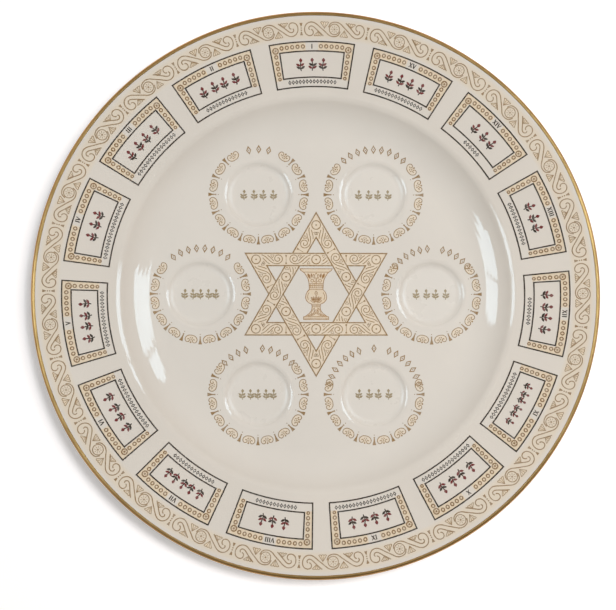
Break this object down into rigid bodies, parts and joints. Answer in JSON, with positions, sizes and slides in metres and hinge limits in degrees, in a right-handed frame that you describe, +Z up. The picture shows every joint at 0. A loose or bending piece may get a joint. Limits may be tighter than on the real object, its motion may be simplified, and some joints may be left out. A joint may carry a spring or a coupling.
{
  "type": "seder plate",
  "caption": "Round glazed ceramic ritual dish with moulded food wells round an interlaced star, a sloping rim of framed panels, a scroll border and a gilt edge.",
  "frame": {"origin": "centre of the foot ring's rest plane, which is the bottom centre of the plate", "axes": "+Z up, out of the plate's face; +Y towards the first panel, which is the top of the picture; +X right"},
  "size_m": [0.3308, 0.3308, 0.0281],
  "materials": {
    "glaze": "glossy cream glaze",
    "gilding": "burnished gold line",
    "gold_print": "satin ochre-gold enamel",
    "dark_print": "dark brown enamel"
  },
  "bodies": {
    "root": {"plate_body": "glaze", "gilt_rim_line": "gilding", "scroll_border": "gold_print", "well_wreath_1": "gold_print", "well_wreath_2": "gold_print", "well_wreath_3": "gold_print", "well_wreath_4": "gold_print", "well_wreath_5": "gold_print", "well_wreath_6": "gold_print", "star_triangle_up": "gold_print", "star_triangle_down": "gold_print", "goblet_emblem": "gold_print", "panel_frame_01": "dark_print", "panel_frame_02": "dark_print", "panel_frame_03": "dark_print", "panel_frame_04": "dark_print", "panel_frame_05": "dark_print", "panel_frame_06": "dark_print", "panel_frame_07": "dark_print", "panel_frame_08": "dark_print", "panel_frame_09": "dark_print", "panel_frame_10": "dark_print", "panel_frame_11": "dark_print", "panel_frame_12": "dark_print", "panel_frame_13": "dark_print", "panel_frame_14": "dark_print", "panel_frame_15": "dark_print"}
  },
  "joints": []
}
